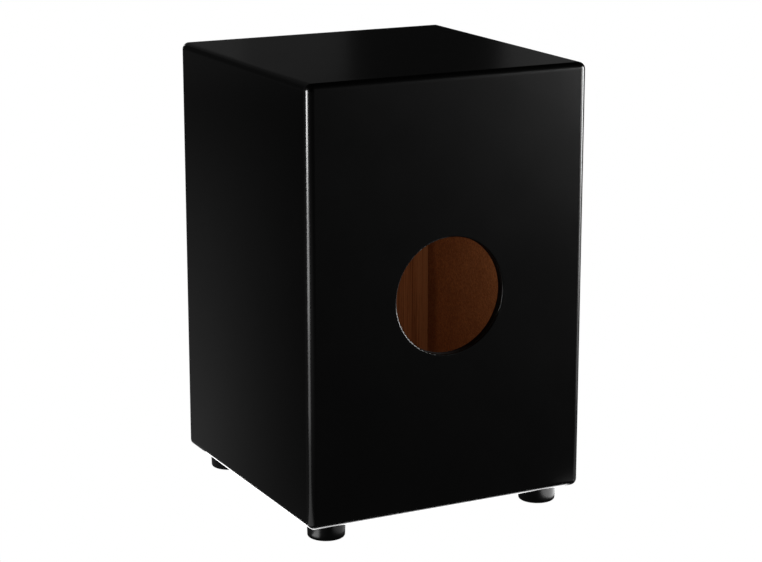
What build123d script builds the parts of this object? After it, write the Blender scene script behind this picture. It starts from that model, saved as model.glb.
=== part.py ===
from build123d import *
from math import asin, cos, degrees, radians, sin, sqrt
import os

# Snare cajon: a box drum that the player sits on.
# A lacquered MDF body carries a thin plywood tapa on its front and a round sound hole in its back.
# Inside, two sets of coiled snare strands stand on a wooden bar and touch the back of the tapa.
#
# Frame: millimetres, +Z up, origin on the floor at the centre of the footprint.
# The tapa faces -Y, the sound hole faces +Y, and left is -X, as seen by someone facing the tapa.
# Each sub-part is written to parts/NODE.step.

# ---------------------------------------------------------------- driving dimensions
BODY_WIDTH = 300.0
BODY_DEPTH = 300.0
BODY_HEIGHT = 432.0
FOOT_HEIGHT = 18.0
WALL = 15.0
BACK_THICKNESS = 9.0
TAPA_THICKNESS = 3.0
EDGE_ROUND = 7.0
TAPA_EDGE_ROUND = 1.2

HOLE_RADIUS = 58.0
HOLE_EDGE_ROUND = 1.2

GLUE_BLOCK_LEG = 20.0
GLUE_BLOCK_GAP = 4.0

FOOT_TOP_RADIUS = 19.0
FOOT_BOTTOM_RADIUS = 18.4
FOOT_INSET = 31.0

SNARE_BAR_RADIUS = 14.0
SNARE_BAR_HEIGHT = 272.0
SNARE_BAR_SETBACK = 24.0
STRANDS_PER_SET = 10
STRAND_LENGTH = 150.0
STRAND_TILT = 8.0

# ---------------------------------------------------------------- derived places
BODY_BOTTOM = FOOT_HEIGHT
BODY_TOP = FOOT_HEIGHT + BODY_HEIGHT
BODY_MIDDLE = FOOT_HEIGHT + BODY_HEIGHT / 2
FRONT = -BODY_DEPTH / 2
TAPA_BACK = FRONT + TAPA_THICKNESS
REAR = BODY_DEPTH / 2
BACK_FRONT = REAR - BACK_THICKNESS
SIDE = BODY_WIDTH / 2
INNER_SIDE = SIDE - WALL
FLOOR_INSIDE = BODY_BOTTOM + WALL
CEILING_INSIDE = BODY_TOP - WALL


# ---------------------------------------------------------------- fasteners
# Ratios of the thread's radius, except where the name says head.
CORE_RADIUS = 0.68
THREAD_PITCH = 0.7
TIP_LENGTH = 2.2
CROSS_DEPTH = 1.1
CROSS_LENGTH_TO_HEAD = 1.15
CROSS_WIDTH_TO_HEAD = 0.24
PAN_DEPTH_TO_HEAD = 0.75
PAN_ROUND_TO_HEAD_DEPTH = 0.55
PLAIN_SHARE = 0.2
CREST_SHARE = 0.6

# Millimetres.
HEAD_RIM = 0.3
THREAD_STEP = 0.2
HOLE_SLACK = 0.1
HOLE_OVERRUN = 1.0
SINK_OVERRUN = 0.2


def wood_screw(length, thread_radius, head_radius, countersunk=True):
    """A cross-head wood screw along +Z, its head's top at z = 0 and its point at z = -length.

    The thread is drawn as rings of the same depth and pitch, not as a helix.
    """
    core = CORE_RADIUS * thread_radius
    pitch = THREAD_PITCH * thread_radius
    point = -length + TIP_LENGTH * thread_radius
    head = head_radius - thread_radius if countersunk else PAN_DEPTH_TO_HEAD * head_radius

    outline = [(0, 0), (head_radius, 0)]
    if countersunk:
        outline += [(head_radius, -HEAD_RIM), (thread_radius, -head - HEAD_RIM)]
    else:
        outline += [(head_radius, -head), (thread_radius, -head)]
    z = -head - HEAD_RIM - PLAIN_SHARE * (length - head)
    outline += [(thread_radius, z), (core, z - THREAD_STEP)]
    while z - pitch > point:
        outline += [(thread_radius, z - CREST_SHARE * pitch), (core, z - pitch)]
        z -= pitch
    outline += [(core, point), (0, -length)]

    body = revolve(make_face(Polyline(*[(r, 0, h) for r, h in outline], close=True)), Axis.Z)
    if not countersunk:
        rim = body.edges().filter_by(GeomType.CIRCLE).sort_by(Axis.Z)[-1]
        body = fillet(rim, PAN_ROUND_TO_HEAD_DEPTH * head)
    arm_length = CROSS_LENGTH_TO_HEAD * head_radius
    arm = Box(arm_length, CROSS_WIDTH_TO_HEAD * head_radius, CROSS_DEPTH * thread_radius)
    return body - arm - Rot(0, 0, 90) * arm


def clearance_hole(length, thread_radius, head_radius=0.0):
    """The hole that wood_screw() leaves, with HOLE_SLACK all round; head_radius adds its countersink."""
    radius = thread_radius + HOLE_SLACK
    depth = length + HOLE_OVERRUN
    hole = Pos(0, 0, -depth / 2) * Cylinder(radius, depth)
    if head_radius:
        sink = head_radius - thread_radius
        mouth = HEAD_RIM + SINK_OVERRUN
        hole += Pos(0, 0, -HEAD_RIM - sink / 2) * Cone(radius, head_radius + HOLE_SLACK, sink)
        hole += Pos(0, 0, SINK_OVERRUN - mouth / 2) * Cylinder(head_radius + HOLE_SLACK, mouth)
    return hole


# ---------------------------------------------------------------- where the screws go
TAPA_SCREW = dict(length=20.0, thread_radius=1.75, head_radius=3.4)
FOOT_SCREW = dict(length=26.0, thread_radius=2.2, head_radius=4.4)
SOCKET_SCREW = dict(length=14.0, thread_radius=1.75, head_radius=3.4)
PLATE_SCREW = dict(length=9.0, thread_radius=1.5, head_radius=2.9)

SCREW_LINE = WALL / 2
SIDE_SCREWS = 6
END_SCREWS = 3
FIRST_SIDE_SCREW = 28.0


def spaced(low, high, count):
    """count values from low to high, evenly spaced."""
    return [low + (high - low) * i / (count - 1) for i in range(count)]


def tapa_screw_places():
    """(fixed, left corner, right corner): where the screws enter the tapa's front."""
    low = BODY_BOTTOM + FIRST_SIDE_SCREW
    high = BODY_TOP - FIRST_SIDE_SCREW
    side_x = SIDE - SCREW_LINE
    fixed = [(s * side_x, z) for s in (-1, 1) for z in spaced(low, high, SIDE_SCREWS)[:-1]]
    ends = (BODY_BOTTOM + SCREW_LINE, BODY_TOP - SCREW_LINE)
    fixed += [(x, z) for z in ends for x in spaced(-SIDE / 2, SIDE / 2, END_SCREWS)]
    return fixed, (-side_x, high), (side_x, high)


def into_front(x, z):
    """Puts a screw or its hole into the front of the tapa at x, z."""
    return Pos(x, FRONT, z) * Rot(90, 0, 0)


def foot_places():
    """The four feet's centres, by name."""
    x = SIDE - FOOT_INSET
    y = BODY_DEPTH / 2 - FOOT_INSET
    return {
        "foot_front_left": (-x, -y),
        "foot_front_right": (x, -y),
        "foot_back_left": (-x, y),
        "foot_back_right": (x, y),
    }


# ---------------------------------------------------------------- the lacquered box
def rounded_block():
    """The box's outer shape, rounded along Y, as a solid from the tapa's back to the back panel."""
    length = BACK_FRONT - TAPA_BACK
    block = Box(BODY_WIDTH, length, BODY_HEIGHT)
    block = fillet(block.edges().filter_by(Axis.Y), EDGE_ROUND)
    return Pos(0, (BACK_FRONT + TAPA_BACK) / 2, BODY_MIDDLE) * block


def mitred(outline_points):
    """One mitred wall of the box, cut from rounded_block() by a trapezium in the XZ plane."""
    face = make_face(Polyline(*[(x, TAPA_BACK, z) for x, z in outline_points], close=True))
    prism = extrude(face, amount=BACK_FRONT - TAPA_BACK, dir=(0, 1, 0))
    return rounded_block() & prism


def side_panel(side):
    """side is -1 for left, 1 for right."""
    panel = mitred(
        [
            (side * SIDE, BODY_BOTTOM),
            (side * SIDE, BODY_TOP),
            (side * INNER_SIDE, CEILING_INSIDE),
            (side * INNER_SIDE, FLOOR_INSIDE),
        ]
    )
    fixed, left, right = tapa_screw_places()
    for x, z in [*fixed, left, right]:
        if x * side > INNER_SIDE:
            panel -= into_front(x, z) * clearance_hole(TAPA_SCREW["length"], TAPA_SCREW["thread_radius"])
    for place in socket_screw_places(side):
        panel -= place * clearance_hole(SOCKET_SCREW["length"], SOCKET_SCREW["thread_radius"])
    return panel


def end_panel(outer, inner):
    """The top or bottom panel, between the heights outer and inner."""
    panel = mitred([(-SIDE, outer), (SIDE, outer), (INNER_SIDE, inner), (-INNER_SIDE, inner)])
    for x, z in tapa_screw_places()[0]:
        if min(outer, inner) < z < max(outer, inner) and abs(x) < INNER_SIDE:
            panel -= into_front(x, z) * clearance_hole(TAPA_SCREW["length"], TAPA_SCREW["thread_radius"])
    return panel


def bottom_panel():
    panel = end_panel(BODY_BOTTOM, FLOOR_INSIDE)
    for x, y in foot_places().values():
        panel -= foot_screw_place(x, y) * clearance_hole(FOOT_SCREW["length"], FOOT_SCREW["thread_radius"])
    return panel


def back_panel():
    """Glued on behind the four walls, and rounded over with them."""
    plate = Box(BODY_WIDTH, 2 * BACK_THICKNESS, BODY_HEIGHT)
    along = plate.edges().filter_by(Axis.Y)
    rear = plate.faces().sort_by(Axis.Y)[-1].edges()
    plate = fillet(along + rear, EDGE_ROUND)
    plate = Pos(0, BACK_FRONT, BODY_MIDDLE) * plate
    plate &= Pos(0, REAR - BACK_THICKNESS / 2, BODY_MIDDLE) * Box(BODY_WIDTH, BACK_THICKNESS, BODY_HEIGHT)
    hole = Pos(0, REAR, BODY_MIDDLE) * Rot(90, 0, 0) * Cylinder(HOLE_RADIUS, 4 * BACK_THICKNESS)
    plate -= hole
    rims = plate.edges().filter_by(GeomType.CIRCLE).filter_by(lambda e: abs(e.radius - HOLE_RADIUS) < 0.01)
    return fillet(rims.sort_by(Axis.Y)[-1], HOLE_EDGE_ROUND)


def glue_block(side, up):
    """A triangular block that backs one mitre; side and up are -1 or 1. It stops short of the tapa."""
    x = side * INNER_SIDE
    z = CEILING_INSIDE if up > 0 else FLOOR_INSIDE
    start = TAPA_BACK + GLUE_BLOCK_GAP
    along_wall = (x, start, z - up * GLUE_BLOCK_LEG)
    corner = Polyline((x, start, z), (x - side * GLUE_BLOCK_LEG, start, z), along_wall, close=True)
    return extrude(make_face(corner), amount=BACK_FRONT - start, dir=(0, 1, 0))


# ---------------------------------------------------------------- the tapa
def tapa():
    plate = Box(BODY_WIDTH, TAPA_THICKNESS, BODY_HEIGHT)
    plate = fillet(plate.edges().filter_by(Axis.Y), EDGE_ROUND)
    front_edges = plate.faces().sort_by(Axis.Y)[0].edges()
    plate = fillet(front_edges, TAPA_EDGE_ROUND)
    plate = Pos(0, FRONT + TAPA_THICKNESS / 2, BODY_MIDDLE) * plate
    fixed, left, right = tapa_screw_places()
    for x, z in [*fixed, left, right]:
        plate -= into_front(x, z) * clearance_hole(**TAPA_SCREW)
    return plate


# ---------------------------------------------------------------- the snare bar and what it carries
BAR_END_GAP = 1.0
BAR_FLAT = 10.0
FLAT_HALF_LENGTH = 92.0
SOCKET_RUNNING_GAP = 0.08
SOCKET_RING_RADIUS = 18.0
SOCKET_RING_LENGTH = 14.0
FLANGE_THICKNESS = 3.5
FLANGE_WIDTH = 40.0
FLANGE_HEIGHT = 68.0
FLANGE_ROUND = 19.5
FLANGE_SCREW_OFFSET = 26.0
END_CHAMFER = 1.0

PLATE_WIDTH = 44.0
PLATE_HEIGHT = 14.0
PLATE_FOOT = 6.5
PLATE_THICKNESS = 1.0
PLATE_CORNER_ROUND = 1.5
PLATE_CENTRE_X = 47.0
PLATE_SCREW_SPREAD = 30.0
PLATE_SCREW_DROP = 2.9
PLATE_HOLE_SLACK = 0.15
SEAT_GAP = 0.01
STRAND_RADIUS = 1.1
STRAND_BORE_RADIUS = 0.75
STRAND_SPACING = 4.2
STRAND_START = 1.0
STRAND_GAP = 0.03
TAPA_GAP = 0.3

PLATE_HEAD = PAN_DEPTH_TO_HEAD * PLATE_SCREW["head_radius"]

BAR_Y = TAPA_BACK + SNARE_BAR_SETBACK


def strand_lean():
    """The strands' lean towards the tapa, in degrees: their tips stop TAPA_GAP short of it."""
    stand_off = BAR_FLAT + PLATE_THICKNESS + STRAND_GAP + 2 * STRAND_RADIUS
    rise = (STRAND_START + STRAND_LENGTH) * cos(radians(STRAND_TILT))
    rise += STRANDS_PER_SET * STRAND_SPACING / 2 * sin(radians(STRAND_TILT))
    reach = SNARE_BAR_SETBACK - TAPA_GAP
    span = sqrt(stand_off**2 + rise**2)
    return degrees(asin(reach / span) - asin(stand_off / span))


def on_bar(x=0.0):
    """The bar's own frame at x: local +Z is out of the flat, local +Y is up along the strands."""
    return Pos(x, BAR_Y, SNARE_BAR_HEIGHT) * Rot(90 + strand_lean(), 0, 0)


def on_plate(side):
    """The frame of one snare plate, tilted outwards: local +Y is up along its strands."""
    return on_bar(side * PLATE_CENTRE_X) * Rot(0, 0, -side * STRAND_TILT)


def plate_screw_offsets():
    return [(u, -PLATE_SCREW_DROP) for u in (-PLATE_SCREW_SPREAD / 2, PLATE_SCREW_SPREAD / 2)]


def snare_bar():
    """A hardwood dowel with a flat milled along its middle for the snare plates."""
    length = 2 * (INNER_SIDE - BAR_END_GAP)
    dowel = Rot(0, 90, 0) * Cylinder(SNARE_BAR_RADIUS, length)
    dowel = chamfer(dowel.edges().filter_by(GeomType.CIRCLE), END_CHAMFER)
    waste = Pos(0, 0, BAR_FLAT + SNARE_BAR_RADIUS) * Box(
        2 * FLAT_HALF_LENGTH, 4 * SNARE_BAR_RADIUS, 2 * SNARE_BAR_RADIUS
    )
    bar = on_bar() * (dowel - waste)
    for side in (-1, 1):
        for u, v in plate_screw_offsets():
            top = Pos(u, v, BAR_FLAT + PLATE_THICKNESS + PLATE_HEAD)
            hole = clearance_hole(PLATE_SCREW["length"], PLATE_SCREW["thread_radius"])
            bar -= on_plate(side) * top * hole
    return bar


def snare_plate(side):
    """The steel end plate that one set of strands is brazed to, with two screw holes."""
    plate = Pos(0, PLATE_HEIGHT / 2 - PLATE_FOOT, 0) * Box(PLATE_WIDTH, PLATE_HEIGHT, PLATE_THICKNESS)
    plate = fillet(plate.edges().filter_by(Axis.Z), PLATE_CORNER_ROUND)
    for u, v in plate_screw_offsets():
        radius = PLATE_SCREW["thread_radius"] + PLATE_HOLE_SLACK
        plate -= Pos(u, v, 0) * Cylinder(radius, 4 * PLATE_THICKNESS)
    return on_plate(side) * Pos(0, 0, BAR_FLAT + PLATE_THICKNESS / 2 + SEAT_GAP) * plate


def snare_plate_screws():
    screws = []
    for side in (-1, 1):
        for u, v in plate_screw_offsets():
            top = Pos(u, v, BAR_FLAT + PLATE_THICKNESS + 2 * SEAT_GAP + PLATE_HEAD)
            screws.append(on_plate(side) * top * wood_screw(**PLATE_SCREW, countersunk=False))
    return Compound(screws)


def snare_strands(side):
    """One set of coiled steel strands, each as a thin tube of the coil's outer diameter."""
    strands = []
    for i in range(STRANDS_PER_SET):
        u = (i - (STRANDS_PER_SET - 1) / 2) * STRAND_SPACING
        tube = Cylinder(STRAND_RADIUS, STRAND_LENGTH) - Cylinder(STRAND_BORE_RADIUS, STRAND_LENGTH)
        axis_height = BAR_FLAT + PLATE_THICKNESS + STRAND_GAP + STRAND_RADIUS
        place = Pos(u, STRAND_START + STRAND_LENGTH / 2, axis_height) * Rot(90, 0, 0)
        strands.append(on_plate(side) * place * tube)
    return Compound(strands)


def socket_screw_places(side):
    """Where the screws enter one socket's flange: local +Z points into the box."""
    face = side * (INNER_SIDE - FLANGE_THICKNESS)
    turn = Rot(0, -90 * side, 0)
    heights = (SNARE_BAR_HEIGHT - FLANGE_SCREW_OFFSET, SNARE_BAR_HEIGHT + FLANGE_SCREW_OFFSET)
    return [Pos(face, BAR_Y, z) * turn for z in heights]


def snare_bar_socket(side):
    """A flanged nylon ring on the side wall that the bar's end turns in."""
    flange = Box(FLANGE_WIDTH, FLANGE_HEIGHT, FLANGE_THICKNESS)
    flange = fillet(flange.edges().filter_by(Axis.Z), FLANGE_ROUND)
    flange = Pos(0, 0, FLANGE_THICKNESS / 2) * flange
    ring = Pos(0, 0, SOCKET_RING_LENGTH / 2) * Cylinder(SOCKET_RING_RADIUS, SOCKET_RING_LENGTH)
    ring = chamfer(ring.faces().sort_by(Axis.Z)[-1].edges(), END_CHAMFER)
    socket = flange + ring
    socket -= Cylinder(SNARE_BAR_RADIUS + SOCKET_RUNNING_GAP, 4 * SOCKET_RING_LENGTH)
    onto_wall = Pos(side * INNER_SIDE, BAR_Y, SNARE_BAR_HEIGHT) * Rot(0, -90 * side, 0)
    socket = onto_wall * Rot(0, 0, 90) * socket
    for place in socket_screw_places(side):
        socket -= place * clearance_hole(**SOCKET_SCREW)
    return socket


def socket_screws():
    places = socket_screw_places(-1) + socket_screw_places(1)
    return Compound([place * wood_screw(**SOCKET_SCREW) for place in places])


# ---------------------------------------------------------------- the feet
FOOT_BORE_RADIUS = 2.6
FOOT_RECESS_RADIUS = 9.0
FOOT_RECESS_DEPTH = 9.0
FOOT_EDGE_ROUND = 2.0
WASHER_RADIUS = 8.0
WASHER_THICKNESS = 1.5
FOOT_HEAD = PAN_DEPTH_TO_HEAD * FOOT_SCREW["head_radius"]


def foot_screw_place(x, y):
    """A foot's screw points up, with its head under the washer in the recess."""
    return Pos(x, y, FOOT_RECESS_DEPTH - WASHER_THICKNESS - FOOT_HEAD) * Rot(180, 0, 0)


def foot(x, y):
    """A tapered rubber foot with a recess for its washer and screw."""
    body = Pos(0, 0, FOOT_HEIGHT / 2) * Cone(FOOT_BOTTOM_RADIUS, FOOT_TOP_RADIUS, FOOT_HEIGHT)
    body -= Cylinder(FOOT_BORE_RADIUS, 4 * FOOT_HEIGHT)
    body -= Cylinder(FOOT_RECESS_RADIUS, 2 * FOOT_RECESS_DEPTH)
    bottom = body.faces().sort_by(Axis.Z)[0].edges().sort_by(SortBy.RADIUS)
    body = fillet(bottom[-1], FOOT_EDGE_ROUND)
    return Pos(x, y, 0) * body


def foot_washers():
    ring = Cylinder(WASHER_RADIUS, WASHER_THICKNESS) - Cylinder(FOOT_BORE_RADIUS, 4 * WASHER_THICKNESS)
    height = FOOT_RECESS_DEPTH - WASHER_THICKNESS / 2
    return Compound([Pos(x, y, height) * ring for x, y in foot_places().values()])


def foot_screws():
    places = [foot_screw_place(x, y) for x, y in foot_places().values()]
    return Compound([place * wood_screw(**FOOT_SCREW, countersunk=False) for place in places])


# ---------------------------------------------------------------- everything, by node name
def build():
    fixed, left_corner, right_corner = tapa_screw_places()
    screw = wood_screw(**TAPA_SCREW)
    nodes = {
        "top_panel": end_panel(BODY_TOP, CEILING_INSIDE),
        "bottom_panel": bottom_panel(),
        "left_side_panel": side_panel(-1),
        "right_side_panel": side_panel(1),
        "back_panel": back_panel(),
        "glue_block_top_left": glue_block(-1, 1),
        "glue_block_top_right": glue_block(1, 1),
        "glue_block_bottom_left": glue_block(-1, -1),
        "glue_block_bottom_right": glue_block(1, -1),
        "tapa": tapa(),
        "tapa_screws": Compound([into_front(x, z) * screw for x, z in fixed]),
        "corner_screw_left": into_front(*left_corner) * screw,
        "corner_screw_right": into_front(*right_corner) * screw,
        "snare_bar": snare_bar(),
        "snare_bar_socket_left": snare_bar_socket(-1),
        "snare_bar_socket_right": snare_bar_socket(1),
        "socket_screws": socket_screws(),
        "snare_plate_left": snare_plate(-1),
        "snare_plate_right": snare_plate(1),
        "snare_plate_screws": snare_plate_screws(),
        "snare_strands_left": snare_strands(-1),
        "snare_strands_right": snare_strands(1),
        "foot_washers": foot_washers(),
        "foot_screws": foot_screws(),
    }
    for name, (x, y) in foot_places().items():
        nodes[name] = foot(x, y)
    return nodes


os.makedirs("parts", exist_ok=True)
for node, shape in build().items():
    export_step(shape, f"parts/{node}.step")
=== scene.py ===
"""Looks of the snare cajon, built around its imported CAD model.

The frame is the CAD's: metres, +Z up, the floor at z = 0, the tapa towards -Y, the sound hole towards +Y.
Sections: helpers for shaders, one function per material, finishes for the CAD nodes,
the coiled snare strands, then the studio and the camera.
"""

from math import cos, hypot, pi, radians, sin

import bpy
import numpy as np
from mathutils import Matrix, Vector


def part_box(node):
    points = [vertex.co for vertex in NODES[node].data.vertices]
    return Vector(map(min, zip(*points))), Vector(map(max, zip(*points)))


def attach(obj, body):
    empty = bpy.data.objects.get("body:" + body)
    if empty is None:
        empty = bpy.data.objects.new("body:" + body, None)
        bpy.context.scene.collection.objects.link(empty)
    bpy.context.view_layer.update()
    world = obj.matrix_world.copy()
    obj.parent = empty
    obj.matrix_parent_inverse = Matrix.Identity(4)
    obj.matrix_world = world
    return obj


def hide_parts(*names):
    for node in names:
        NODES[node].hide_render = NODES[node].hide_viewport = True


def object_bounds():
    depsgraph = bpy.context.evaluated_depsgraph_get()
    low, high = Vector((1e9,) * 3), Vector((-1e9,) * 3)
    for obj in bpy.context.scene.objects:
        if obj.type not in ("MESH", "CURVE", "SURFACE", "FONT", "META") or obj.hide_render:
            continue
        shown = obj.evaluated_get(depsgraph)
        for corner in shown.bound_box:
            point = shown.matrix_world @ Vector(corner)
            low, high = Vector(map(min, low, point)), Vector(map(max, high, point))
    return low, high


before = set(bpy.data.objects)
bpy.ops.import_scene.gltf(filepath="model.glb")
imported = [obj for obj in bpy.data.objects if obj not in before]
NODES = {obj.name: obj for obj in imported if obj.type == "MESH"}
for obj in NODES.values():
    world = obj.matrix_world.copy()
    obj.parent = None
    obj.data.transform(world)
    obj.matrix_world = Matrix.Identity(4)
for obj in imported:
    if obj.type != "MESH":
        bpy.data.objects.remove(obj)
CAD_LOW, CAD_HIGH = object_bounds()
SIDES = ("left", "right")
MM = 0.001
SCRATCHES_PER_METRE = 500


# ---------------------------------------------------------------- shader helpers
class Shader:
    """A material under construction: its node tree, and short ways to add what the materials share."""

    def __init__(self, name):
        self.material = bpy.data.materials.new(name)
        self.material.use_nodes = True
        self.tree = self.material.node_tree
        self.tree.nodes.clear()
        self.output = self.tree.nodes.new("ShaderNodeOutputMaterial")
        self.place = self.tree.nodes.new("ShaderNodeTexCoord").outputs["Object"]

    def node(self, kind, settings=None, **inputs):
        """A new node. settings: its properties. inputs: its sockets, each a value or a socket to link."""
        made = self.tree.nodes.new("ShaderNode" + kind)
        for key, value in (settings or {}).items():
            setattr(made, key, value)
        for key, value in inputs.items():
            self.put(made, key.replace("_", " "), value)
        return made

    def put(self, node, socket, value):
        """Sets or links one input of a node."""
        if isinstance(value, bpy.types.NodeSocket):
            self.tree.links.new(value, node.inputs[socket])
        else:
            node.inputs[socket].default_value = value

    def stretched(self, scale, location=(0, 0, 0), rotation=(0, 0, 0)):
        """The object's own coordinates, scaled along each axis, then turned and moved."""
        mapping = self.node("Mapping")
        self.put(mapping, "Vector", self.place)
        mapping.inputs["Scale"].default_value = scale
        mapping.inputs["Location"].default_value = location
        mapping.inputs["Rotation"].default_value = rotation
        return mapping.outputs["Vector"]

    def noise(self, scale, detail=3.0, roughness=0.5, vector=None, distortion=0.0):
        made = self.node("TexNoise", None, Vector=vector or self.place, Scale=scale, Detail=detail)
        made.inputs["Roughness"].default_value = roughness
        made.inputs["Distortion"].default_value = distortion
        return made.outputs["Fac"]

    def cells(self, scale):
        made = self.node("TexVoronoi", {"feature": "F1"}, Vector=self.place, Scale=scale)
        return made.outputs["Distance"]

    def spread(self, value, low, high, to_low=0.0, to_high=1.0):
        """value from low to high becomes to_low to to_high, clamped."""
        made = self.node("MapRange", {"clamp": True})
        for socket, given in zip(range(5), (value, low, high, to_low, to_high)):
            self.put(made, socket, given)
        return made.outputs["Result"]

    def math(self, operation, a, b=0.0):
        made = self.node("Math", {"operation": operation})
        self.put(made, 0, a)
        self.put(made, 1, b)
        return made.outputs[0]

    def colours(self, factor, *stops):
        """A colour ramp: stops are (place, (r, g, b)) pairs."""
        ramp = self.node("ValToRGB", None, Fac=factor)
        ramp.color_ramp.elements.remove(ramp.color_ramp.elements[1])
        for i, (place, colour) in enumerate(stops):
            element = ramp.color_ramp.elements[0] if i == 0 else ramp.color_ramp.elements.new(place)
            element.position = place
            element.color = (*colour, 1)
        return ramp.outputs["Color"]

    def mix(self, factor, a, b):
        made = self.node("Mix", {"data_type": "RGBA", "blend_type": "MIX"})
        self.put(made, 0, factor)
        for socket, value in ((6, a), (7, b)):
            self.put(made, socket, value if isinstance(value, bpy.types.NodeSocket) else (*value, 1))
        return made.outputs[2]

    def bump(self, height, distance, strength=1.0, normal=None):
        made = self.node("Bump", None, Height=height, Distance=distance, Strength=strength)
        if normal:
            self.put(made, "Normal", normal)
        return made.outputs["Normal"]

    def surface(self, colour, roughness, normal=None, **constants):
        """Ends the material with a Principled BSDF and returns the material."""
        bsdf = self.node("BsdfPrincipled")
        if not isinstance(colour, bpy.types.NodeSocket):
            colour = (*colour, 1)
        self.put(bsdf, "Base Color", colour)
        self.put(bsdf, "Roughness", roughness)
        if normal:
            self.put(bsdf, "Normal", normal)
        for key, value in constants.items():
            bsdf.inputs[key.replace("_", " ")].default_value = value
        self.tree.links.new(bsdf.outputs["BSDF"], self.output.inputs["Surface"])
        return self.material


# ---------------------------------------------------------------- materials
def black_lacquer():
    """Sprayed semi-gloss lacquer: fine orange peel, faint ripples and softly dulled patches."""
    s = Shader("black_lacquer")
    peel = s.noise(1100, detail=2)
    ripple = s.noise(90, detail=2)
    dull = s.noise(14, detail=4, roughness=0.6)
    grain = s.spread(s.noise(1700, detail=1), 0.3, 0.7, 0.0005, 0.0012)
    colour = s.node("CombineColor", None, Red=grain, Green=grain, Blue=grain).outputs["Color"]
    roughness = s.spread(dull, 0.3, 0.7, 0.203, 0.222)
    normal = s.bump(ripple, 0.03 * MM, 0.5, s.bump(peel, 0.012 * MM, 0.55))
    return s.surface(colour, roughness, normal, IOR=1.5)


def black_edge():
    """Flat black sealer on the cut wall of the sound hole, with the router's faint rings."""
    s = Shader("black_edge")
    rings = s.noise(1.0, detail=3, vector=s.stretched((60, 2600, 60)))
    colour = s.colours(rings, (0.3, (0.0015, 0.0015, 0.0016)), (0.7, (0.004, 0.004, 0.0042)))
    normal = s.bump(rings, 0.03 * MM, 0.5)
    return s.surface(colour, s.spread(rings, 0.3, 0.7, 0.7, 0.85), normal, Specular_IOR_Level=0.2)


def raw_fibreboard(name="raw_fibreboard", shaded_from=None):
    """Unpainted fibreboard: warm brown, with dark and light fibres pressed flat and no direction to them.

    shaded_from: the y of a corner; beside it a painted shadow darkens the wall, in a band that widens
    downwards.
    """
    s = Shader(name)
    cloud = s.noise(28, detail=4)
    clumps = s.noise(390, detail=4, roughness=0.8)
    fibre = s.noise(1100, detail=3, roughness=0.7)
    fleck = s.spread(s.cells(420), 0.05, 0.32)
    base = s.colours(cloud, (0.3, (0.40, 0.205, 0.090)), (0.7, (0.51, 0.275, 0.125)))
    base = s.mix(s.spread(clumps, 0.50, 0.60, 0.0, 0.6), base, (0.27, 0.105, 0.055))
    base = s.mix(s.spread(clumps, 0.48, 0.38, 0.0, 0.6), base, (0.74, 0.39, 0.15))
    base = s.mix(s.spread(fibre, 0.4, 0.7, 0.0, 0.6), base, (0.30, 0.15, 0.06))
    base = s.mix(s.math("MULTIPLY", s.math("SUBTRACT", 1.0, fleck), 0.45), base, (0.62, 0.40, 0.20))
    # Painted shadow: a dark band on the wall beside the corner, widening downwards, stands in for shade
    # there.
    if shaded_from is not None:
        place = s.node("SeparateXYZ", None, Vector=s.place)
        across = s.math("SUBTRACT", place.outputs["Y"], shaded_from)
        reach = s.spread(place.outputs["Z"], 0.15, 0.30, 21 * MM, 2 * MM)
        ragged = s.math("MULTIPLY", s.math("SUBTRACT", cloud, 0.5), 8 * MM)
        edge = s.math("ADD", s.math("SUBTRACT", across, reach), ragged)
        base = s.mix(s.spread(edge, -6 * MM, 4 * MM, 0.42, 0.0), base, (0.09, 0.035, 0.014))
    normal = s.bump(fibre, 0.08 * MM, 0.6)
    return s.surface(base, s.spread(fibre, 0.3, 0.7, 0.78, 0.95), normal, Specular_IOR_Level=0.25)


def grain_lines(s, across, along, wander=0.0):
    """Wood grain that runs along one axis: (broad bands, fine lines, pores), each 0 to 1."""
    def stretched(scale, squeeze):
        return s.stretched(tuple(scale * a + squeeze * b for a, b in zip(across, along)))

    bands = s.noise(1.0, detail=4, roughness=0.55, vector=stretched(55, 1.6), distortion=wander)
    lines = s.noise(1.0, detail=5, roughness=0.7, vector=stretched(430, 5), distortion=wander * 0.5)
    pores = s.noise(1.0, detail=2, roughness=0.6, vector=stretched(1500, 42))
    return bands, lines, s.spread(pores, 0.62, 0.72)


def tapa_back():
    """The tapa's raw inner ply: reddish brown, with light and dark grain up its height."""
    s = Shader("tapa_back")
    bands, lines, pores = grain_lines(s, (1, 1, 0), (0, 0, 1))
    base = s.colours(
        s.math("ADD", s.math("MULTIPLY", bands, 0.45), s.math("MULTIPLY", lines, 0.55)),
        (0.36, (0.20, 0.085, 0.032)), (0.47, (0.44, 0.215, 0.09)), (0.56, (0.56, 0.30, 0.135)),
        (0.66, (0.34, 0.15, 0.058)),
    )
    base = s.mix(s.math("MULTIPLY", pores, 0.6), base, (0.12, 0.045, 0.016))
    normal = s.bump(lines, 0.06 * MM, 0.5, s.bump(pores, -0.08 * MM, 0.5))
    return s.surface(base, s.spread(lines, 0.3, 0.7, 0.62, 0.8), normal, Specular_IOR_Level=0.35)


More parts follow.
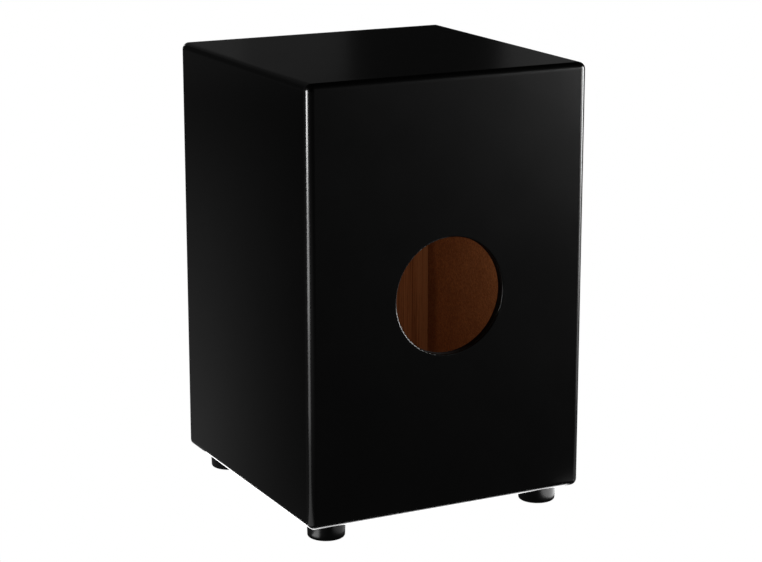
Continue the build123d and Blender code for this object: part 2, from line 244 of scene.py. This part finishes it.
def tapa_veneer():
    """The playing face: satin-lacquered flat-cut veneer, with tall arches of growth rings and pores."""
    s = Shader("tapa_veneer")
    bands, lines, pores = grain_lines(s, (1, 0, 0), (0, 0, 1), wander=0.4)
    cut = s.stretched((1, 1, 0.17), location=(0.025, 0.098, 0), rotation=(pi / 4, 0, 0))
    settings = {"wave_type": "RINGS", "rings_direction": "Z", "wave_profile": "SAW"}
    rings = s.node("TexWave", settings, Vector=cut, Scale=44.0, Distortion=6.5, Detail=5.0)
    rings.inputs["Detail Scale"].default_value = 0.5
    rings.inputs["Detail Roughness"].default_value = 0.62
    broken = s.math("ADD", rings.outputs["Fac"], s.spread(lines, 0.3, 0.7, -0.28, 0.28))
    late = s.spread(broken, 0.10, 1.05)
    streaks = s.noise(1.0, detail=4, roughness=0.7, vector=s.stretched((650, 650, 14)))
    tone = s.math("ADD", s.math("MULTIPLY", late, 0.36), s.spread(streaks, 0.3, 0.7, 0.0, 0.34))
    base = s.colours(
        s.math("ADD", tone, s.math("MULTIPLY", bands, 0.32)),
        (0.26, (0.68, 0.42, 0.20)), (0.46, (0.58, 0.33, 0.145)), (0.62, (0.45, 0.225, 0.09)),
        (0.80, (0.28, 0.12, 0.045)),
    )
    flame = s.noise(1.0, detail=3, vector=s.stretched((9, 9, 2.2)), distortion=1.4)
    base = s.mix(s.spread(flame, 0.35, 0.65, 0.0, 0.22), base, (0.34, 0.145, 0.052))
    base = s.mix(s.math("MULTIPLY", pores, 0.6), base, (0.13, 0.05, 0.018))
    roughness = s.spread(s.noise(18, detail=4), 0.3, 0.7, 0.30, 0.42)
    normal = s.bump(lines, 0.02 * MM, 0.35, s.bump(pores, -0.03 * MM, 0.4))
    return s.surface(base, roughness, normal, Coat_Weight=0.35, Coat_Roughness=0.22)


def bare_wood(name, light, dark, across, along, roughness):
    """Plain sanded or sawn wood, with its grain along one axis."""
    s = Shader(name)
    bands, lines, pores = grain_lines(s, across, along, wander=0.2)
    tone = s.math("ADD", s.math("MULTIPLY", bands, 0.5), s.math("MULTIPLY", lines, 0.5))
    base = s.colours(tone, (0.35, dark), (0.62, light))
    base = s.mix(s.math("MULTIPLY", pores, 0.5), base, tuple(0.4 * c for c in dark))
    normal = s.bump(lines, 0.05 * MM, 0.5, s.bump(pores, -0.05 * MM, 0.4))
    return s.surface(base, s.spread(lines, 0.3, 0.7, roughness - 0.06, roughness + 0.12), normal)


def rubber():
    """Moulded black rubber with a slight bloom and a fine pitted skin."""
    s = Shader("foot_rubber")
    bloom = s.noise(60, detail=4, roughness=0.6)
    pits = s.noise(1400, detail=3)
    colour = s.colours(bloom, (0.3, (0.007, 0.007, 0.0072)), (0.75, (0.016, 0.016, 0.0164)))
    normal = s.bump(pits, 0.03 * MM, 0.6)
    return s.surface(colour, s.spread(bloom, 0.3, 0.7, 0.26, 0.36), normal, Specular_IOR_Level=0.5)


def nylon():
    """Moulded black nylon with a fine spark-eroded texture."""
    s = Shader("socket_nylon")
    texture = s.noise(1600, detail=3, roughness=0.6)
    colour = s.colours(texture, (0.3, (0.014, 0.014, 0.015)), (0.7, (0.024, 0.024, 0.026)))
    return s.surface(colour, s.spread(texture, 0.3, 0.7, 0.38, 0.52), s.bump(texture, 0.02 * MM, 0.6))


def metal(name, bright, dim, roughness, scratch_axis=(1, 1, 1)):
    """Steel with fine scratches, and a plating or oxide that varies from bright to dim.

    scratch_axis: how fast the scratches change along each axis.
    """
    s = Shader(name)
    stretched = s.stretched(tuple(SCRATCHES_PER_METRE * a for a in scratch_axis))
    scratches = s.noise(1.0, detail=4, roughness=0.7, vector=stretched)
    blotch = s.noise(120, detail=3)
    colour = s.colours(blotch, (0.3, dim), (0.7, bright))
    rough = s.spread(scratches, 0.3, 0.7, roughness - 0.07, roughness + 0.1)
    return s.surface(colour, rough, s.bump(scratches, 0.006 * MM, 0.5), Metallic=1.0)


LACQUER = black_lacquer()
EDGE_BLACK = black_edge()
FIBREBOARD = raw_fibreboard()
# The left wall's inside carries a painted shadow beside its corner with the tapa.
SHADED_FIBREBOARD = raw_fibreboard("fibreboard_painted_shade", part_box("tapa")[1].y)
TAPA_BACK = tapa_back()
VENEER = tapa_veneer()
RUBBER = rubber()
NYLON = nylon()
BEECH = bare_wood("beech", (0.62, 0.40, 0.22), (0.47, 0.27, 0.13), (0, 1, 1), (1, 0, 0), 0.6)
SOFTWOOD = bare_wood("softwood", (0.64, 0.43, 0.21), (0.45, 0.25, 0.10), (1, 0, 1), (0, 1, 0), 0.75)
BLACK_STEEL = metal("black_steel", (0.15, 0.15, 0.155), (0.09, 0.09, 0.094), 0.34)
ZINC_STEEL = metal("zinc_steel", (0.72, 0.72, 0.70), (0.55, 0.55, 0.54), 0.34)
PLATE_STEEL = metal("snare_plate_steel", (0.66, 0.63, 0.56), (0.48, 0.45, 0.38), 0.36, (0.2, 1, 1))
WIRE_STEEL = metal("snare_wire_steel", (0.74, 0.73, 0.70), (0.58, 0.57, 0.55), 0.27)


# ---------------------------------------------------------------- finishes on the CAD nodes
FACING = 0.98
SQUARE_ON = 0.05
NEAR = 0.2 * MM


def paint(name, base, *rules):
    """Gives a CAD node its base material, and another to the faces that a rule (material, test) picks."""
    mesh = NODES[name].data
    mesh.materials.clear()
    for material in (base, *(rule[0] for rule in rules)):
        mesh.materials.append(material)
    for face in mesh.polygons:
        picked = [i for i, (_, test) in enumerate(rules, 1) if test(face)]
        face.material_index = picked[0] if picked else 0


def inner_face(axis, level):
    """A test for the faces of a wall's inner side: the flat at level on that axis."""
    return lambda face: abs(face.center[axis] - level) < NEAR and abs(face.normal[axis]) > FACING


def hole_wall(panel):
    """A test for the cut wall of the round hole in the middle of a panel that faces along Y."""
    low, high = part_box(panel)
    middle = (low + high) / 2
    reach = (high.x - low.x) / 4

    def test(face):
        off_axis = hypot(face.center[0] - middle.x, face.center[2] - middle.z)
        return off_axis < reach and abs(face.normal[1]) < SQUARE_ON

    return test


def paint_body():
    """Lacquer outside, raw fibreboard inside; the tapa is veneered in front and raw behind."""
    top_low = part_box("top_panel")[0].z
    bottom_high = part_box("bottom_panel")[1].z
    right_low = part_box("right_side_panel")[0].x
    left_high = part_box("left_side_panel")[1].x
    back_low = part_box("back_panel")[0].y
    paint("top_panel", LACQUER, (FIBREBOARD, inner_face(2, top_low)))
    paint("bottom_panel", LACQUER, (FIBREBOARD, inner_face(2, bottom_high)))
    paint("right_side_panel", LACQUER, (FIBREBOARD, inner_face(0, right_low)))
    paint("left_side_panel", LACQUER, (SHADED_FIBREBOARD, inner_face(0, left_high)))
    inside, wall = inner_face(1, back_low), hole_wall("back_panel")
    paint("back_panel", LACQUER, (FIBREBOARD, inside), (EDGE_BLACK, wall))
    tapa_low, tapa_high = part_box("tapa")
    paint("tapa", LACQUER, (VENEER, inner_face(1, tapa_low.y)), (TAPA_BACK, inner_face(1, tapa_high.y)))


def paint_small_parts():
    """Screws, washers, snare parts, glue blocks and feet, each in one material."""
    finishes = {
        "tapa_screws": BLACK_STEEL,
        "corner_screw_left": BLACK_STEEL,
        "corner_screw_right": BLACK_STEEL,
        "socket_screws": ZINC_STEEL,
        "snare_plate_screws": ZINC_STEEL,
        "foot_screws": ZINC_STEEL,
        "foot_washers": ZINC_STEEL,
        "snare_bar": BEECH,
        "snare_plate_left": PLATE_STEEL,
        "snare_plate_right": PLATE_STEEL,
    }
    for name, material in finishes.items():
        paint(name, material)
    for name in NODES:
        if name.startswith("snare_bar_socket"):
            paint(name, NYLON)
        if name.startswith("glue_block"):
            paint(name, SOFTWOOD)
        if name.startswith("foot_") and name not in finishes:
            paint(name, RUBBER)


# ---------------------------------------------------------------- coiled snare strands
COIL_PITCH = 1.6 * MM
WIRE_RADIUS = 0.26 * MM
STEPS_PER_TURN = 9
WIRE_SIDES = 5
SAME_PLACE_DIGITS = 7


def loose_parts(mesh):
    """The vertices of each separate solid of a mesh, as arrays."""
    parent = list(range(len(mesh.vertices)))

    def root(i):
        while parent[i] != i:
            parent[i] = parent[parent[i]]
            i = parent[i]
        return i

    for edge in mesh.edges:
        a, b = (root(i) for i in edge.vertices)
        parent[a] = b
    places = {}
    for vertex in mesh.vertices:
        places.setdefault(tuple(round(c, SAME_PLACE_DIGITS) for c in vertex.co), []).append(vertex.index)
    for same in places.values():
        for i in same[1:]:
            parent[root(i)] = root(same[0])
    parts = {}
    for vertex in mesh.vertices:
        parts.setdefault(root(vertex.index), []).append(tuple(vertex.co))
    return [np.array(p) for p in parts.values()]


def strand_axis(points):
    """(low end, unit direction, length, outer radius) of one straight tube."""
    middle = (points.min(0) + points.max(0)) / 2
    direction = np.linalg.svd(points - points.mean(0), full_matrices=False)[2][0]
    direction *= 1 if direction[2] > 0 else -1
    along = (points - middle) @ direction
    start = middle + direction * along.min()
    off_axis = points - start - np.outer((points - start) @ direction, direction)
    centre = (off_axis.min(0) + off_axis.max(0)) / 2
    radius = np.linalg.norm(off_axis - centre, axis=1).max()
    return start + centre, direction, along.max() - along.min(), radius


def coil_points(start, direction, length, radius):
    """The centreline of one coiled strand."""
    side = np.cross(direction, (1.0, 0.0, 0.0))
    side /= np.linalg.norm(side)
    other = np.cross(direction, side)
    turns = (length - 2 * WIRE_RADIUS) / COIL_PITCH
    count = int(turns * STEPS_PER_TURN)
    reach = radius - WIRE_RADIUS
    angles = np.arange(count + 1) * 2 * pi / STEPS_PER_TURN
    climb = WIRE_RADIUS + np.linspace(0, length - 2 * WIRE_RADIUS, count + 1)
    ring = np.outer(np.cos(angles), side) + np.outer(np.sin(angles), other)
    return start + np.outer(climb, direction) + reach * ring, ring


def swept(points, outward, sides, radius):
    """(vertices, faces) of a round wire along points, closed at both ends.

    outward: unit vectors from the coil's axis towards the points.
    """
    tangents = np.gradient(points, axis=0)
    tangents /= np.linalg.norm(tangents, axis=1)[:, None]
    binormals = np.cross(tangents, outward)
    binormals /= np.linalg.norm(binormals, axis=1)[:, None]
    turns = np.arange(sides) * 2 * pi / sides
    rings = [points + radius * (cos(t) * outward + sin(t) * binormals) for t in turns]
    vertices = np.stack(rings, axis=1).reshape(-1, 3)
    faces = []
    for i in range(len(points) - 1):
        for k in range(sides):
            a, b = i * sides + k, i * sides + (k + 1) % sides
            faces.append((a, b, b + sides, a + sides))
    last = (len(points) - 1) * sides
    faces.append(tuple(range(sides))[::-1])
    faces.append(tuple(last + k for k in range(sides)))
    return vertices, faces


def snare_coils(side):
    """The real coiled strands of one set, in place of its ten plain tubes."""
    node = "snare_strands_" + side
    vertices, faces = [], []
    for part in loose_parts(NODES[node].data):
        start, direction, length, radius = strand_axis(part)
        points, outward = coil_points(start, direction, length, radius)
        more, its_faces = swept(points, outward, WIRE_SIDES, WIRE_RADIUS)
        offset = len(vertices)
        vertices.extend(map(tuple, more))
        faces.extend(tuple(offset + i for i in face) for face in its_faces)
    mesh = bpy.data.meshes.new("snare_coils_" + side)
    mesh.from_pydata(vertices, [], faces)
    mesh.materials.append(WIRE_STEEL)
    mesh.shade_smooth()
    piece = bpy.data.objects.new("snare_coils_" + side, mesh)
    bpy.context.scene.collection.objects.link(piece)
    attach(piece, "snares")
    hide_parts(node)


# ---------------------------------------------------------------- studio
# A gloss black box is drawn by what it mirrors, so each light stands where one edge or face mirrors it.
# The camera doesn't see the lights. Most are linked to the nodes they are for, and stay out of the others.
HALF = CAD_HIGH.x
ON_FLOOR = 2 * MM
BACK = ["back_panel"]
BODY_PANELS = ["bottom_panel", "left_side_panel", "right_side_panel", "back_panel", "tapa"]
FRONT_PARTS = ["tapa", "tapa_screws", "corner_screw_left", "corner_screw_right"]

# Keys for the back's upright edges.
# Name, place, the point it faces, width, height, radiance, and the nodes it lights.
EDGE_KEYS = (
    ("key_left", (1.45, -0.05, 0.40), (0.15, 0.15, 0.30), 0.56, 0.60, 24.0, BACK),
    ("key_right_near", (-1.115, 1.004, 0.56), (0, 0, 0.35), 0.5, 0.78, 9.5, BACK),
    ("key_right_far", (-1.37, 0.60, 0.50), (-HALF, HALF, 0.35), 0.42, 0.90, 20.0, BACK),
)

# Rows of strips on the floor, from a corner of the box outwards, for the same edges.
# A strip: reach from and to, width, gain. A row: name, corner, heading in degrees, level.
SPILL_STRIPS = (((0.02, 0.35), 0.10, 1.0), ((0.35, 0.80), 0.30, 2.6), ((0.80, 1.70), 0.70, 7.0))
SPILLS = (
    ("spill_left", (HALF, HALF), 0, 0.75),
    ("spill_right", (-HALF, HALF), 162, 0.40),
)

# A glow under the box, for the line along its lower edges.
UNDER_RADIANCE = 5.0

# Strips on the floor beside a foot. Name, foot, heading in degrees, reach from and to, width, radiance.
FOOT_STRIPS = (
    ("near_foot_streak", "foot_back_right", 21, (0.022, 0.085), 0.014, 3.2),
    ("near_foot_rim", "foot_back_right", 150, (0.025, 0.085), 0.08, 0.7),
    ("far_foot_sheen", "foot_back_left", 140, (0.022, 0.11), 0.09, 3.0),
)

# The top mirrors these at a low angle. Name, x, z, distance towards -Y, width, height, radiance.
# No two that overlap are at the same distance.
BACKDROPS = (
    ("left", -0.175, 0.75, 1.40, 0.96, 0.50, 0.034),
    ("far_left", -0.15, 0.75, 1.42, 0.64, 0.50, 0.018),
    ("high", 0.35, 1.20, 1.41, 1.30, 0.65, 0.032),
    ("low", 0.90, 0.53, 1.43, 0.90, 0.69, 0.028),
    ("middle", -0.805, 0.75, 1.40, 0.30, 0.50, 0.006),
    ("right", -1.28, 0.75, 1.40, 0.65, 0.50, 0.060),
    ("far_right", -1.37, 0.75, 1.42, 0.66, 0.50, 0.012),
)

# Lights for the playing face, the top and the sides as other views see them. Columns as in EDGE_KEYS.
SHEENS = (
    ("tapa_key", (0.9, -1.6, 1.5), (0, -0.15, 0.22), 1.1, 1.1, 8.0, FRONT_PARTS),
    ("top_sheen_back", (-1.3, 1.3, 1.35), (0, 0, 0.45), 1.3, 0.7, 0.35, ["top_panel"]),
    ("top_sheen_front", (1.3, -1.3, 1.05), (0, 0, 0.45), 1.3, 0.7, 0.35, ["top_panel"]),
    ("overhead", (0.25, 0.45, 2.4), (0, 0, 0.45), 2.0, 1.6, 0.30, ["top_panel"]),
    ("right_sheen", (2.2, 0.1, 0.45), (0, 0, 0.25), 1.0, 0.7, 0.7, ["right_side_panel"]),
    ("left_sheen", (-2.2, -0.1, 0.45), (0, 0, 0.25), 1.0, 0.7, 0.7, ["left_side_panel"]),
    ("left_sheen_back", (-1.1, 1.7, 0.30), (-0.15, 0, 0.25), 1.0, 0.5, 0.45, ["left_side_panel"]),
)

# A warm light just inside the sound hole, for the part of the inside that shows through it.
INSIDE_PLACE = (0, 0.125, 0.25)
INSIDE_AIM = (0, -0.15, 0.25)
INSIDE_SIZE = 0.14
INSIDE_RADIANCE = 1.35
INSIDE_COLOUR = (1.0, 0.70, 0.55)


def soft_box(name, place, aim, width, height, radiance, only=None):
    """A rectangular light at place that faces aim. only: the nodes it lights, or all of them."""
    data = bpy.data.lights.new(name, "AREA")
    data.shape = "RECTANGLE"
    data.size = width
    data.size_y = height
    data.energy = radiance * pi * width * height
    lamp = bpy.data.objects.new(name, data)
    bpy.context.scene.collection.objects.link(lamp)
    lamp.location = place
    lamp.rotation_euler = (Vector(aim) - Vector(place)).to_track_quat("-Z", "Y").to_euler()
    lamp.visible_camera = False
    if only:
        lit = bpy.data.collections.new(name + "_lights")
        for node in only:
            lit.objects.link(NODES[node])
        lamp.light_linking.receiver_collection = lit
    return lamp


def floor_strip(name, start, heading, along, width, radiance, only):
    """A strip of light face up on the floor, from along[0] to along[1] from start towards heading."""
    middle = sum(along) / 2
    turn = radians(heading)
    place = (start[0] + middle * cos(turn), start[1] + middle * sin(turn), ON_FLOOR)
    lamp = soft_box(name, place, (0, 0, 1), along[1] - along[0], width, radiance, only)
    lamp.rotation_euler = (pi, 0, turn)


def lights():
    """All the lights of the studio, from the tables above."""
    for key in EDGE_KEYS:
        soft_box(*key)
    for name, corner, heading, level in SPILLS:
        for i, (along, width, gain) in enumerate(SPILL_STRIPS):
            floor_strip(name + str(i), corner, heading, along, width, gain * level, BACK)
    soft_box("under_glow", (0, 0, MM), (0, 0, 1), 2 * HALF, 2 * HALF, UNDER_RADIANCE, BODY_PANELS)
    for name, foot, heading, along, width, radiance in FOOT_STRIPS:
        low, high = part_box(foot)
        floor_strip(name, (low + high) / 2, heading, along, width, radiance, [foot])
    for name, x, z, depth, width, height, radiance in BACKDROPS:
        soft_box("backdrop_" + name, (x, -depth, z), (x, 0, z), width, height, radiance)
    for sheen in SHEENS:
        soft_box(*sheen)
    inside = soft_box("inside_glow", INSIDE_PLACE, INSIDE_AIM, INSIDE_SIZE, INSIDE_SIZE, INSIDE_RADIANCE)
    inside.data.color = INSIDE_COLOUR


FLOOR_SIZE = 12.0

# How bright the floor is around the box and behind it, where nothing is added.
FRONT_LEVEL = 0.012
BACK_LEVEL = 0.030

# The glow on the +X side: its highest level, the way it rises, and from and to where along that way.
GLOW_LEVEL = 0.125
GLOW_WAY = (-0.922, -0.387)
GLOW_RISE = (-0.22, -0.09)

# A weaker glow, under the box and beside it.
BESIDE_LEVEL = 0.022

# Round pools of light, for the sides in views from other corners.
POOLS = ((0.8, 0.75), (-0.8, -0.75))
POOL_RADIUS = 0.95
POOL_LEVEL = 0.30


def floor_level(s):
    """How bright the floor is to all but the camera."""
    apart = s.node("SeparateXYZ", None, Vector=s.place)
    x, y = apart.outputs["X"], apart.outputs["Y"]

    # The glow fades towards -Y, and it ends near the plane of the back.
    lean = s.math("ADD", s.math("MULTIPLY", x, GLOW_WAY[0]), s.math("MULTIPLY", y, GLOW_WAY[1]))
    rise = s.spread(lean, *GLOW_RISE)
    glow = s.math("MULTIPLY", s.math("MULTIPLY", rise, rise), GLOW_LEVEL)
    glow = s.math("MULTIPLY", glow, s.spread(y, -2.4, -0.3, 0.12, 1.0))
    glow = s.math("MULTIPLY", glow, s.spread(y, 0.05, 0.2, 1.0, 0.0))
    glow = s.math("MULTIPLY", glow, s.spread(x, 0.05, 0.15))
    level = s.math("ADD", glow, s.spread(y, 0.0, 0.25, FRONT_LEVEL, BACK_LEVEL))
    beside = s.math("MULTIPLY", s.spread(x, 0.7, 0.2, 0.0, BESIDE_LEVEL), s.spread(y, -0.7, 0.1))
    level = s.math("ADD", level, s.math("MULTIPLY", beside, s.spread(y, 0.25, 0.12)))

    for middle_x, middle_y in POOLS:
        from_x = s.math("SUBTRACT", x, middle_x)
        from_y = s.math("SUBTRACT", y, middle_y)
        squared = s.math("ADD", s.math("MULTIPLY", from_x, from_x), s.math("MULTIPLY", from_y, from_y))
        near = s.spread(s.math("SQRT", squared), POOL_RADIUS, 0.0)
        level = s.math("ADD", level, s.math("MULTIPLY", s.math("MULTIPLY", near, near), POOL_LEVEL))
    return level


def light_table():
    """The floor: plain white to the camera, and floor_level() to everything else."""
    corner = FLOOR_SIZE / 2
    corners = [(-corner, -corner, 0), (corner, -corner, 0), (corner, corner, 0), (-corner, corner, 0)]
    mesh = bpy.data.meshes.new("floor")
    mesh.from_pydata(corners, [], [(0, 1, 2, 3)])
    floor = bpy.data.objects.new("floor", mesh)
    bpy.context.scene.collection.objects.link(floor)

    s = Shader("light_table")
    level = floor_level(s)
    seen = s.node("LightPath").outputs["Is Camera Ray"]
    strength = s.node("Mix", {"data_type": "FLOAT"})
    s.put(strength, 0, seen)
    s.put(strength, 2, level)
    s.put(strength, 3, 1.0)
    emission = s.node("Emission", None, Strength=strength.outputs[0])
    s.tree.links.new(emission.outputs["Emission"], s.output.inputs["Surface"])
    mesh.materials.append(s.material)
    s.material.cycles.emission_sampling = "NONE"


WORLD_LEVEL = 0.002


def white_world():
    """Plain white behind the object, and almost no light from it."""
    world = bpy.data.worlds.new("studio")
    bpy.context.scene.world = world
    world.use_nodes = True
    tree = world.node_tree
    tree.nodes.clear()
    seen = tree.nodes.new("ShaderNodeLightPath").outputs["Is Camera Ray"]
    strength = tree.nodes.new("ShaderNodeMapRange")
    tree.links.new(seen, strength.inputs["Value"])
    strength.inputs["To Min"].default_value = WORLD_LEVEL
    strength.inputs["To Max"].default_value = 1.0
    background = tree.nodes.new("ShaderNodeBackground")
    tree.links.new(strength.outputs["Result"], background.inputs["Strength"])
    background.inputs["Color"].default_value = (1, 1, 1, 1)
    output = tree.nodes.new("ShaderNodeOutputWorld")
    tree.links.new(background.outputs["Background"], output.inputs["Surface"])


AZIMUTH = 152.943
ELEVATION = 14.256
DISTANCE = 2.3315
AIM_SIDEWAYS = 0.0016
AIM_BELOW_BOX = 0.0184
LENS = 108.21
SENSOR = 36.0
NEAR_CLIP = 0.1
FAR_CLIP = 50.0


def camera():
    """Behind the box and to its +X side, a little above it, with a long lens."""
    a, e = radians(AZIMUTH), radians(ELEVATION)
    back = Vector((sin(a) * cos(e), -cos(a) * cos(e), sin(e)))
    rotation = (-back).to_track_quat("-Z", "Y")
    right = rotation @ Vector((1, 0, 0))
    up = rotation @ Vector((0, 1, 0))
    box_low, box_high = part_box("back_panel")
    middle = Vector((0, 0, (box_low.z + box_high.z) / 2))
    aim = middle + AIM_SIDEWAYS * right - AIM_BELOW_BOX * up
    data = bpy.data.cameras.new("camera")
    data.lens = LENS
    data.sensor_width = SENSOR
    data.clip_start = NEAR_CLIP
    data.clip_end = FAR_CLIP
    made = bpy.data.objects.new("camera", data)
    bpy.context.scene.collection.objects.link(made)
    made.rotation_mode = "QUATERNION"
    made.rotation_quaternion = rotation
    made.location = aim + back * DISTANCE
    bpy.context.scene.camera = made


# ---------------------------------------------------------------- the whole scene
bpy.context.scene.view_settings.view_transform = "Standard"
camera()
white_world()
light_table()
lights()
paint_body()
paint_small_parts()
for side in SIDES:
    snare_coils(side)
